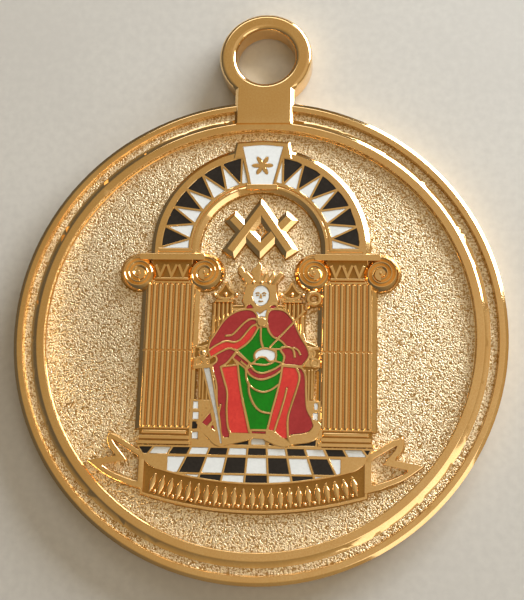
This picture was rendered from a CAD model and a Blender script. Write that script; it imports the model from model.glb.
import math

import bmesh
import bpy
from mathutils import Matrix, Vector
from mathutils.bvhtree import BVHTree
from mathutils.geometry import intersect_line_line_2d, intersect_point_line


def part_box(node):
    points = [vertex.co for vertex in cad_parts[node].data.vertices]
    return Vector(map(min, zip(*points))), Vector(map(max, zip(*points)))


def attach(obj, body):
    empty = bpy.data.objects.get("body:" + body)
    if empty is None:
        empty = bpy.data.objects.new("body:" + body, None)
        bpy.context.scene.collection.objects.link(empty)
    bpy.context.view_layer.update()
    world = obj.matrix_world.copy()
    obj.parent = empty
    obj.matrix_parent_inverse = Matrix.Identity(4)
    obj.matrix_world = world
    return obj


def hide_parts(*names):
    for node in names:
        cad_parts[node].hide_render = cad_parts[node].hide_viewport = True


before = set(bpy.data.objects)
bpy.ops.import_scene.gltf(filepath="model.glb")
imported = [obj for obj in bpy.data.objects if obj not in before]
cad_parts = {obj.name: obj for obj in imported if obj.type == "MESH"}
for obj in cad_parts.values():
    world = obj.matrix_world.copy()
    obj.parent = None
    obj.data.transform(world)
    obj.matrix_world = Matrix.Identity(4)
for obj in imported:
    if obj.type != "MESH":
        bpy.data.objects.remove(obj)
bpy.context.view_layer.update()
mm = 0.001


def makeActive(piece):
    for thing in list(bpy.context.selected_objects):
        thing.select_set(False)
    piece.select_set(True)
    bpy.context.view_layer.objects.active = piece


# camera, lights and sky; places in mm from the disc's centre

cameraView = {
    "place": (14.73, -38.24, 167.66),
    "look": (-0.08337, 0.25168, -0.96421),
    "up": (-0.00852, 0.96737, 0.25324),
    "lens": 72,
    "near": 5,  # mm
}

bpy.ops.object.camera_add(location=Vector(cameraView["place"]) * mm)
camera = bpy.context.object
back = -Vector(cameraView["look"]).normalized()
right = Vector(cameraView["up"]).cross(back).normalized()
camera.rotation_euler = Matrix((right, back.cross(right), back)).transposed().to_euler()
camera.data.lens = cameraView["lens"]
camera.data.clip_start = cameraView["near"] * mm
bpy.context.scene.camera = camera

# size in mm, power in watts
softLights = [
    {"name": "keyLight", "place": (292, 336, 130), "size": (400, 220), "power": 4.2, "colour": (0.93, 0.98, 1)},
    {"name": "fillLight", "place": (273, -229, 321), "size": (300, 300), "power": 0.28, "colour": (1, 0.97, 0.93)},
    {"name": "topLight", "place": (-60, 420, 420), "size": (260, 180), "power": 0.3, "colour": (0.97, 0.98, 1)},
]

for light in softLights:
    bpy.ops.object.light_add(type="AREA", location=Vector(light["place"]) * mm)
    lamp = bpy.context.object
    lamp.name = light["name"]
    lamp.rotation_euler = Vector(light["place"]).to_track_quat("Z", "Y").to_euler()
    lamp.data.shape = "RECTANGLE"
    lamp.data.size, lamp.data.size_y = light["size"][0] * mm, light["size"][1] * mm
    lamp.data.energy = light["power"]
    lamp.data.color = light["colour"]

skyLook = {
    # places along the fade from the floor up, and their colours
    "stops": [(0.04, (0.12, 0.11, 0.095, 1)), (0.66, (0.41, 0.31, 0.165, 1)), (0.84, (0.59, 0.48, 0.33, 1))],
    "east": 0.5,  # the east side is further along by this share
    "scale": 0.8,
    "strength": 1.0,
}


def fadeSky():
    world = bpy.data.worlds.new("studio")
    bpy.context.scene.world = world
    world.use_nodes = True
    tree = world.node_tree
    direction = tree.nodes.new("ShaderNodeTexCoord")
    height = tree.nodes.new("ShaderNodeSeparateXYZ")
    lean = tree.nodes.new("ShaderNodeMath")
    lean.operation = "MULTIPLY_ADD"
    lean.inputs[1].default_value = skyLook["east"]
    scaled = tree.nodes.new("ShaderNodeMath")
    scaled.operation = "MULTIPLY"
    scaled.inputs[1].default_value = skyLook["scale"]
    fade = tree.nodes.new("ShaderNodeValToRGB")
    stops = fade.color_ramp.elements
    stops.new(0.5)  # a third stop, placed below
    for stop, (place, colour) in zip(stops, skyLook["stops"]):
        stop.position, stop.color = place, colour
    tree.links.new(direction.outputs["Generated"], height.inputs["Vector"])
    tree.links.new(height.outputs["X"], lean.inputs[0])
    tree.links.new(height.outputs["Z"], lean.inputs[2])
    tree.links.new(lean.outputs[0], scaled.inputs[0])
    tree.links.new(scaled.outputs[0], fade.inputs["Fac"])
    tree.links.new(fade.outputs["Color"], tree.nodes["Background"].inputs["Color"])
    tree.nodes["Background"].inputs["Strength"].default_value = skyLook["strength"]


fadeSky()
bpy.context.scene.view_settings.view_transform = "Standard"
print("camera and light done")


# node groups that the finishes share

def newGroup(name, inputs, outputs):
    tree = bpy.data.node_groups.new(name, "ShaderNodeTree")
    for label, kind, value in inputs:
        socket = tree.interface.new_socket(name=label, in_out="INPUT", socket_type=kind)
        if value is not None:
            socket.default_value = value
    for label, kind in outputs:
        tree.interface.new_socket(name=label, in_out="OUTPUT", socket_type=kind)
    start = tree.nodes.new("NodeGroupInput")
    end = tree.nodes.new("NodeGroupOutput")
    return tree, start.outputs, end.inputs


def addNode(tree, kind, links=None, **settings):
    node = tree.nodes.new(kind)
    for key, value in settings.items():
        setattr(node, key, value)
    for socket, value in (links or {}).items():
        if isinstance(value, bpy.types.NodeSocket):
            tree.links.new(value, node.inputs[socket])
        else:
            node.inputs[socket].default_value = value
    return node


# scales are per metre
mottleLook = {"scale": 200.0, "speckScale": 4000.0, "detail": 3.0, "speckDetail": 2.0, "spread": (0.15, 0.36)}


# slow change of colour over a surface, with fine specks
def mottleGroup():
    tree, given, made = newGroup("mottle", [
        ("Vector", "NodeSocketVector", None), ("Light", "NodeSocketColor", None), ("Dark", "NodeSocketColor", None),
        ("Scale", "NodeSocketFloat", mottleLook["scale"]),
        ("Speck Scale", "NodeSocketFloat", mottleLook["speckScale"])], [("Color", "NodeSocketColor")])
    cloud = addNode(tree, "ShaderNodeTexNoise",
                    {"Vector": given["Vector"], "Scale": given["Scale"], "Detail": mottleLook["detail"]})
    speck = addNode(tree, "ShaderNodeTexNoise",
                    {"Vector": given["Vector"], "Scale": given["Speck Scale"], "Detail": mottleLook["speckDetail"]})
    both = addNode(tree, "ShaderNodeMath", {0: cloud.outputs["Fac"], 1: speck.outputs["Fac"]}, operation="MULTIPLY")
    low, high = mottleLook["spread"]
    spread = addNode(tree, "ShaderNodeMapRange", {"Value": both.outputs[0], "From Min": low, "From Max": high})
    mix = addNode(tree, "ShaderNodeMix", {"Factor": spread.outputs["Result"], 6: given["Dark"], 7: given["Light"]},
                  data_type="RGBA")
    tree.links.new(mix.outputs[2], made["Color"])
    return tree


stippleLook = {"scale": 4300.0, "detail": 1.5, "twist": 0.6, "height": (0.35, 0.65), "bright": (0.42, 0.55)}


# hammered grains of a stippled ground, as a height and as a mask of the bright grains
def stippleGroup():
    tree, given, made = newGroup("stipple", [
        ("Vector", "NodeSocketVector", None), ("Grain Scale", "NodeSocketFloat", stippleLook["scale"])],
        [("Height", "NodeSocketFloat"), ("Bright", "NodeSocketFloat")])
    grain = addNode(tree, "ShaderNodeTexNoise",
                    {"Vector": given["Vector"], "Scale": given["Grain Scale"], "Detail": stippleLook["detail"],
                     "Distortion": stippleLook["twist"]})
    low, high = stippleLook["height"]
    shape = addNode(tree, "ShaderNodeMapRange", {"Value": grain.outputs["Fac"], "From Min": low, "From Max": high},
                    interpolation_type="SMOOTHSTEP")
    low, high = stippleLook["bright"]
    bright = addNode(tree, "ShaderNodeMapRange", {"Value": grain.outputs["Fac"], "From Min": low, "From Max": high})
    tree.links.new(shape.outputs["Result"], made["Height"])
    tree.links.new(bright.outputs["Result"], made["Bright"])
    return tree


polishLook = {"waveScale": 220.0, "waveDetail": 1.0, "scratch": 0.12, "scratchDetail": 2.0,
              "turn": (0, 0, 0.5), "stretch": (300, 6000, 300)}


# shallow waves of a hand-polished surface and its hairline scratches, as a height
def polishGroup():
    tree, given, made = newGroup("polish", [
        ("Vector", "NodeSocketVector", None), ("Wave Scale", "NodeSocketFloat", polishLook["waveScale"]),
        ("Scratch", "NodeSocketFloat", polishLook["scratch"])],
        [("Height", "NodeSocketFloat"), ("Rub", "NodeSocketFloat")])
    wave = addNode(tree, "ShaderNodeTexNoise",
                   {"Vector": given["Vector"], "Scale": given["Wave Scale"], "Detail": polishLook["waveDetail"]})
    stretch = addNode(tree, "ShaderNodeMapping", {"Vector": given["Vector"], "Rotation": polishLook["turn"],
                                                 "Scale": polishLook["stretch"]})
    line = addNode(tree, "ShaderNodeTexNoise",
                   {"Vector": stretch.outputs["Vector"], "Scale": 1.0, "Detail": polishLook["scratchDetail"]})
    total = addNode(tree, "ShaderNodeMath", {0: line.outputs["Fac"], 1: given["Scratch"], 2: wave.outputs["Fac"]},
                    operation="MULTIPLY_ADD")
    tree.links.new(total.outputs[0], made["Height"])
    tree.links.new(line.outputs["Fac"], made["Rub"])
    return tree


mottle, stipple, polish = mottleGroup(), stippleGroup(), polishGroup()


# finishes

def newMaterial(name):
    material = bpy.data.materials.new(name)
    material.use_nodes = True
    tree = material.node_tree
    where = tree.nodes.new("ShaderNodeTexCoord").outputs["Object"]
    return material, tree, tree.nodes["Principled BSDF"], where


def placeGroup(tree, group, where, values):
    node = addNode(tree, "ShaderNodeGroup", node_tree=group)
    tree.links.new(where, node.inputs["Vector"])
    for label, value in values.items():
        node.inputs[label].default_value = value
    return node


def colourBy(tree, shader, where, values):
    tone = placeGroup(tree, mottle, where, values)
    tree.links.new(tone.outputs["Color"], shader.inputs["Base Color"])


def raiseBy(tree, shader, ground, distance):
    bump = addNode(tree, "ShaderNodeBump",
                   {"Height": ground.outputs["Height"], "Strength": 1.0, "Distance": distance})
    tree.links.new(bump.outputs["Normal"], shader.inputs["Normal"])


# heights in metres
giltLook = {
    "light": (0.99, 0.71, 0.37, 1), "dark": (0.95, 0.64, 0.30, 1), "scale": 160.0,
    "roughness": (0.05, 0.12), "waveHeight": 0.000012,
    "grainLight": (0.96, 0.82, 0.59, 1), "grainDark": (0.52, 0.31, 0.11, 1),
    "grainRoughness": 0.34, "grainHeight": 0.00005,
    "recessLight": (0.50, 0.28, 0.084, 1), "recessDark": (0.42, 0.23, 0.066, 1), "recessRoughness": 0.34,
}


def polished():
    material, tree, shader, where = newMaterial("polishedGilt")
    shader.inputs["Metallic"].default_value = 1.0
    colourBy(tree, shader, where,
             {"Light": giltLook["light"], "Dark": giltLook["dark"], "Scale": giltLook["scale"]})
    ground = placeGroup(tree, polish, where, {})
    low, high = giltLook["roughness"]
    rub = addNode(tree, "ShaderNodeMapRange", {"Value": ground.outputs["Rub"], "To Min": low, "To Max": high})
    tree.links.new(rub.outputs["Result"], shader.inputs["Roughness"])
    raiseBy(tree, shader, ground, giltLook["waveHeight"])
    return material


def stippled():
    material, tree, shader, where = newMaterial("stippledGilt")
    shader.inputs["Metallic"].default_value = 1.0
    shader.inputs["Roughness"].default_value = giltLook["grainRoughness"]
    ground = placeGroup(tree, stipple, where, {})
    tone = addNode(tree, "ShaderNodeMix",
                   {"Factor": ground.outputs["Bright"], 6: giltLook["grainDark"], 7: giltLook["grainLight"]},
                   data_type="RGBA")
    tree.links.new(tone.outputs[2], shader.inputs["Base Color"])
    raiseBy(tree, shader, ground, giltLook["grainHeight"])
    return material


# unpolished gilt at the bottom of the relief
def recess():
    material, tree, shader, where = newMaterial("recessGilt")
    shader.inputs["Metallic"].default_value = 1.0
    shader.inputs["Roughness"].default_value = giltLook["recessRoughness"]
    colourBy(tree, shader, where,
             {"Light": giltLook["recessLight"], "Dark": giltLook["recessDark"], "Scale": giltLook["scale"]})
    return material


enamelLook = {
    "scale": 350.0, "speckScale": 2500.0, "roughness": 0.16, "specular": 0.3, "coat": 0.25, "coatRoughness": 0.04,
    "waveScale": 420.0, "scratch": 0.03, "waveHeight": 0.00001,
    # lighter and darker tone of each colour
    "tones": {
        "white": ((0.88, 0.93, 0.98, 1), (0.82, 0.87, 0.92, 1)),
        "black": ((0.021, 0.018, 0.018, 1), (0.014, 0.012, 0.013, 1)),
        "crimson": ((0.40, 0.036, 0.040, 1), (0.34, 0.028, 0.032, 1)),
        "scarlet": ((0.72, 0.055, 0.045, 1), (0.64, 0.042, 0.037, 1)),
        "green": ((0.002, 0.225, 0.006, 1), (0.002, 0.18, 0.005, 1)),
        "silver": ((0.60, 0.60, 0.58, 1), (0.50, 0.50, 0.49, 1)),
    },
}


def enamel(colour):
    material, tree, shader, where = newMaterial(colour + "Enamel")
    light, dark = enamelLook["tones"][colour]
    colourBy(tree, shader, where, {"Light": light, "Dark": dark, "Scale": enamelLook["scale"],
                                   "Speck Scale": enamelLook["speckScale"]})
    shader.inputs["Roughness"].default_value = enamelLook["roughness"]
    shader.inputs["Specular IOR Level"].default_value = enamelLook["specular"]
    shader.inputs["Coat Weight"].default_value = enamelLook["coat"]
    shader.inputs["Coat Roughness"].default_value = enamelLook["coatRoughness"]
    ground = placeGroup(tree, polish, where,
                        {"Wave Scale": enamelLook["waveScale"], "Scratch": enamelLook["scratch"]})
    raiseBy(tree, shader, ground, enamelLook["waveHeight"])
    return material


giltFinishes = [polished(), stippled(), recess()]
enamels = {colour: enamel(colour) for colour in enamelLook["tones"]}
print("materials done")


# floor

floorLook = {"size": 3.0, "light": (0.62, 0.61, 0.59, 1), "dark": (0.57, 0.56, 0.545, 1), "roughness": 0.75,
             "scale": 30.0, "speckScale": 900.0}

bpy.ops.mesh.primitive_plane_add(size=floorLook["size"], location=(0, 0, 0))
floor = bpy.context.object
floor.name = "floor"
pale, tree, shader, where = newMaterial("paleFloor")
colourBy(tree, shader, where, {"Light": floorLook["light"], "Dark": floorLook["dark"], "Scale": floorLook["scale"],
                               "Speck Scale": floorLook["speckScale"]})
shader.inputs["Roughness"].default_value = floorLook["roughness"]
floor.data.materials.append(pale)
print("floor done")


# the gilt casting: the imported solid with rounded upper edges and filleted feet

# lengths in mm, turns in degrees, slopes as the upward share of a face's normal
castingLook = {
    "fieldZ": 2.4, "grooveZ": 2.9, "recesses": (2.6, 2.95), "same": 0.01,
    "bandR": 30.4, "bandEdgeR": 34.9, "ringY": 37.3,
    "leafZ": (3.09, 3.16), "leafR": (49.2, 52.4), "leafCentreY": 27.3,
    "tailZ": 3.1, "tailX": 15.7, "tailY": -14,
    # least height over the ground, least turn and steepness of the edges
    "crestOver": 0.35, "rimOver": 0.3, "crestTurn": 40, "bandTurn": 20, "ringTurn": 30, "footTurn": 60,
    "flat": 0.95, "steep": 0.3, "bandSlope": 0.9, "ringSlope": 0.6,
    # width, steps and least room beside the edge
    "leaves": (0.26, 3, 0.5), "tails": (0.26, 3, 0.6), "bands": (0.1, 2, 0.5), "ring": (0.28, 4, 0.8),
    "crests": [(0.16, 3, 0.8), (0.1, 2, 0.42), (0.05, 2, 0.2)], "feet": (0.14, 2, 0.5),
    "leastCorner": 75,
    # tries of a rounding, way kept free around a crossing and its growth with each try
    "tries": 6, "keepOff": 0.15, "keepMore": 0.5, "sameCrossing": 0.05,
    "merge": 0.002, "dissolve": 0.5, "smooth": 33,
    "cut": 6,  # between the cuts that keep the flat faces small
    "groundUp": 0.98, "footUp": 0.2,
}


def shownSides(edge):
    first, second = edge.link_faces
    return (first, second) if first.normal.z > second.normal.z else (second, first)


def turnOf(edge):
    return math.degrees(edge.calc_face_angle_signed(0))


def isCrest(edge):
    top, wall = shownSides(edge)
    low = min(vert.co.z for vert in edge.verts)
    reach = max(vert.co.xy.length for vert in edge.verts)
    return (low > (castingLook["fieldZ"] + castingLook["crestOver"]) * mm and reach < castingLook["bandR"] * mm
            and turnOf(edge) > castingLook["crestTurn"]
            and top.normal.z > castingLook["flat"] and wall.normal.z < castingLook["steep"])


# rims of the leaves and knobs on the scroll
def isLeafRim(edge):
    heights = [vert.co.z / mm for vert in edge.verts]
    centre = Vector((0, castingLook["leafCentreY"])) * mm
    reach = [(vert.co.xy - centre).length / mm for vert in edge.verts]
    low, high = castingLook["leafZ"]
    near, far = castingLook["leafR"]
    return isCrest(edge) and low < min(heights) and max(heights) < high and near < min(reach) and max(reach) < far


def isTailRim(edge):
    return isCrest(edge) and all(abs(vert.co.z / mm - castingLook["tailZ"]) < castingLook["same"]
                                 and vert.co.y < castingLook["tailY"] * mm
                                 and abs(vert.co.x) > castingLook["tailX"] * mm for vert in edge.verts)


# upper edges of the two bands round the disc
def isBandRim(edge):
    top, wall = shownSides(edge)
    low = min(vert.co.z for vert in edge.verts)
    reach = [vert.co.xy.length for vert in edge.verts]
    return (low > (castingLook["grooveZ"] + castingLook["rimOver"]) * mm
            and min(reach) > castingLook["bandR"] * mm and max(reach) < castingLook["bandEdgeR"] * mm
            and turnOf(edge) > castingLook["bandTurn"]
            and top.normal.z > castingLook["flat"] and wall.normal.z < castingLook["bandSlope"])


# edges of the hanging ring's sloping rims
def isRingRim(edge):
    top, wall = shownSides(edge)
    low = (castingLook["grooveZ"] + castingLook["rimOver"]) * mm
    return (all(vert.co.z > low and vert.co.y > castingLook["ringY"] * mm for vert in edge.verts)
            and turnOf(edge) > castingLook["ringTurn"] and top.normal.z > castingLook["ringSlope"])


# edges where a wall stands on the field
def isFoot(edge):
    top, wall = shownSides(edge)
    gap = max(abs(vert.co.z - castingLook["fieldZ"] * mm) for vert in edge.verts)
    return (gap < castingLook["same"] * mm and turnOf(edge) < -castingLook["footTurn"]
            and top.normal.z > castingLook["flat"] and wall.normal.z < castingLook["steep"])


# mm: start beside the edge and above or below it, and reach of the look
roomLook = {"shares": (0.1, 0.5, 0.9), "beside": 0.002, "over": 0.02, "reach": 2}


# least free way from an edge across its wall (inwards) or across the ground beside it
def roomAt(edge, tree, faces, inwards):
    top, wall = shownSides(edge)
    out = Vector((wall.normal.x, wall.normal.y, 0)).normalized()
    aim = -out if inwards else out
    near = {face for vert in edge.verts for face in vert.link_faces}
    room = math.inf
    for share in roomLook["shares"]:
        start = edge.verts[0].co.lerp(edge.verts[1].co, share) + aim * roomLook["beside"] * mm
        start.z += -roomLook["over"] * mm if inwards else roomLook["over"] * mm
        index, distance = tree.ray_cast(start, aim, roomLook["reach"] * mm)[2:]
        if index is not None and faces[index] not in near:
            room = min(room, distance)
    return room


# edges of a chain that meet in a sharp corner of the ground
def inSharpCorner(edge, chosen):
    for vert in edge.verts:
        along = edge.other_vert(vert).co - vert.co
        for other in vert.link_edges:
            if other in chosen and other is not edge:
                turn = (other.other_vert(vert).co - vert.co).angle(along, math.pi)
                if turn < math.radians(castingLook["leastCorner"]):
                    return True
    return False


# share of a face, and mm2, by which its filled area may be off
faceLook = {"share": 0.01, "area": 0.01}


# places where the outline of a flat face crosses itself
def crossings(mesh):
    mesh.calc_loop_triangles()
    filled = {}
    for part in mesh.loop_triangles:
        filled[part.polygon_index] = filled.get(part.polygon_index, 0) + part.area
    places = []
    for face in mesh.polygons:
        spare = faceLook["share"] * face.area + faceLook["area"] * mm * mm
        if abs(filled.get(face.index, 0) - face.area) < spare:
            continue
        ring = [mesh.vertices[index].co.xy for index in face.vertices]
        for first in range(len(ring)):
            for second in range(first + 2, len(ring)):
                if (second + 1) % len(ring) != first:
                    place = intersect_line_line_2d(ring[first - 1], ring[first], ring[second - 1], ring[second])
                    if place is not None:
                        places.append(place)
    return places


# distance of a place from an edge, seen from above
def wayTo(edge, place):
    start, end = (vert.co.xy.to_3d() for vert in edge.verts)
    share = intersect_point_line(place.to_3d(), start, end)[1]
    return (start.lerp(end, min(max(share, 0), 1)) - place.to_3d()).length


# a first try shows where the new edges would cross; the edges near by then stay as they are
def bevelEdges(piece, wanted, inwards, size):
    width, steps, leastRoom = size
    barred, known = [], crossings(piece.data)
    for attempt in range(castingLook["tries"]):
        before = piece.data.copy()
        makeActive(piece)
        bpy.ops.object.mode_set(mode="EDIT")
        bpy.ops.mesh.select_mode(type="EDGE")
        bpy.ops.mesh.select_all(action="DESELECT")
        bm = bmesh.from_edit_mesh(piece.data)
        bm.faces.ensure_lookup_table()
        tree = BVHTree.FromBMesh(bm, epsilon=0)
        chosen = {edge for edge in bm.edges if len(edge.link_faces) == 2 and wanted(edge)
                  and roomAt(edge, tree, bm.faces, inwards) > leastRoom * mm
                  and all(wayTo(edge, place) > reach for place, reach in barred)}
        if not inwards:
            chosen = {edge for edge in chosen if not inSharpCorner(edge, chosen)}
        for edge in chosen:
            edge.select_set(True)
        bmesh.update_edit_mesh(piece.data)
        bpy.ops.mesh.bevel(offset=width * mm, segments=steps, affect="EDGES", clamp_overlap=False,
                           loop_slide=False, miter_outer="ARC")
        bpy.ops.object.mode_set(mode="OBJECT")
        found = [place for place in crossings(piece.data)
                 if all((place - old).length > castingLook["sameCrossing"] * mm for old in known)]
        if not found or attempt == castingLook["tries"] - 1:
            break
        reach = (castingLook["keepOff"] + width) * (1 + castingLook["keepMore"] * attempt) * mm
        barred += [(place, reach) for place in found]
        piece.data = before
    print("rounded", len(chosen), "edges in", attempt + 1, "tries,", len(found), "crossings left")


def cutFlats(piece, step):
    low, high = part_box("medal")
    makeActive(piece)
    bpy.ops.object.mode_set(mode="EDIT")
    for axis in (0, 1):
        count = int((high[axis] - low[axis]) / (step * mm))
        for turn in range(1, count + 1):
            place, normal = [0, 0, 0], [0, 0, 0]
            place[axis] = low[axis] + turn * (high[axis] - low[axis]) / (count + 1)
            normal[axis] = 1
            bpy.ops.mesh.select_all(action="SELECT")
            bpy.ops.mesh.bisect(plane_co=place, plane_no=normal)
    bpy.ops.object.mode_set(mode="OBJECT")


def copyOfNode(node, name):
    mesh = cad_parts[node].data.copy()
    mesh.materials.clear()
    piece = bpy.data.objects.new(name, mesh)
    bpy.context.scene.collection.objects.link(piece)
    makeActive(piece)
    bpy.ops.mesh.customdata_custom_splitnormals_clear()
    bpy.ops.object.mode_set(mode="EDIT")
    bpy.ops.mesh.select_all(action="SELECT")
    bpy.ops.mesh.remove_doubles(threshold=castingLook["merge"] * mm)
    bpy.ops.mesh.dissolve_limited(angle_limit=math.radians(castingLook["dissolve"]))
    bpy.ops.object.mode_set(mode="OBJECT")
    return piece


def smoothPiece(piece):
    makeActive(piece)
    bpy.ops.object.shade_smooth_by_angle(angle=math.radians(castingLook["smooth"]))
    even = piece.modifiers.new("even", "WEIGHTED_NORMAL")
    even.keep_sharp = True
    bpy.ops.object.modifier_apply(modifier="even")


# 0 is polished, 1 stippled on the field and in the groove, 2 dull at the bottom of the relief
def finishOf(face, mesh):
    z, reach = face.center.z / mm, mesh.vertices[face.vertices[0]].co.xy.length / mm
    onRelief = reach < castingLook["bandR"] and z > castingLook["fieldZ"]
    if face.normal.z > castingLook["groundUp"]:
        onField = abs(z - castingLook["fieldZ"]) < castingLook["same"]
        inGroove = abs(z - castingLook["grooveZ"]) < castingLook["same"] and reach > castingLook["bandR"]
        sunk = any(abs(z - height) < castingLook["same"] for height in castingLook["recesses"])
        return 1 if onField or inGroove else 2 if onRelief and sunk else 0
    onFoot = z < castingLook["fieldZ"] + castingLook["feet"][0] and face.normal.z > castingLook["footUp"]
    return 2 if onRelief and onFoot else 0


casting = copyOfNode("medal", "casting")
bevelEdges(casting, isLeafRim, True, castingLook["leaves"])
bevelEdges(casting, isTailRim, True, castingLook["tails"])
bevelEdges(casting, isBandRim, True, castingLook["bands"])
bevelEdges(casting, isRingRim, True, castingLook["ring"])
for size in castingLook["crests"]:
    bevelEdges(casting, isCrest, True, size)
bevelEdges(casting, isFoot, False, castingLook["feet"])
cutFlats(casting, castingLook["cut"])
smoothPiece(casting)
for finish in giltFinishes:
    casting.data.materials.append(finish)
for face in casting.data.polygons:
    face.material_index = finishOf(face, casting.data)
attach(casting, "root")
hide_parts("medal")
print("casting done:", len(casting.data.polygons), "faces")


# the enamels keep their solids

enamelOf = {
    "keystone_enamel": "white", "arch_white_enamel": "white", "floor_white_enamel": "white",
    "face_enamel": "white", "linen_enamel": "white", "arch_black_enamel": "black", "floor_black_enamel": "black",
    "robe_crimson_enamel": "crimson", "robe_scarlet_enamel": "scarlet", "tunic_green_enamel": "green",
    "sword_enamel": "silver",
}

for node, colour in enamelOf.items():
    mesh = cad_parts[node].data
    if not mesh.materials:
        mesh.materials.append(enamels[colour])
    for index in range(len(mesh.materials)):
        mesh.materials[index] = enamels[colour]
print("enamel done")
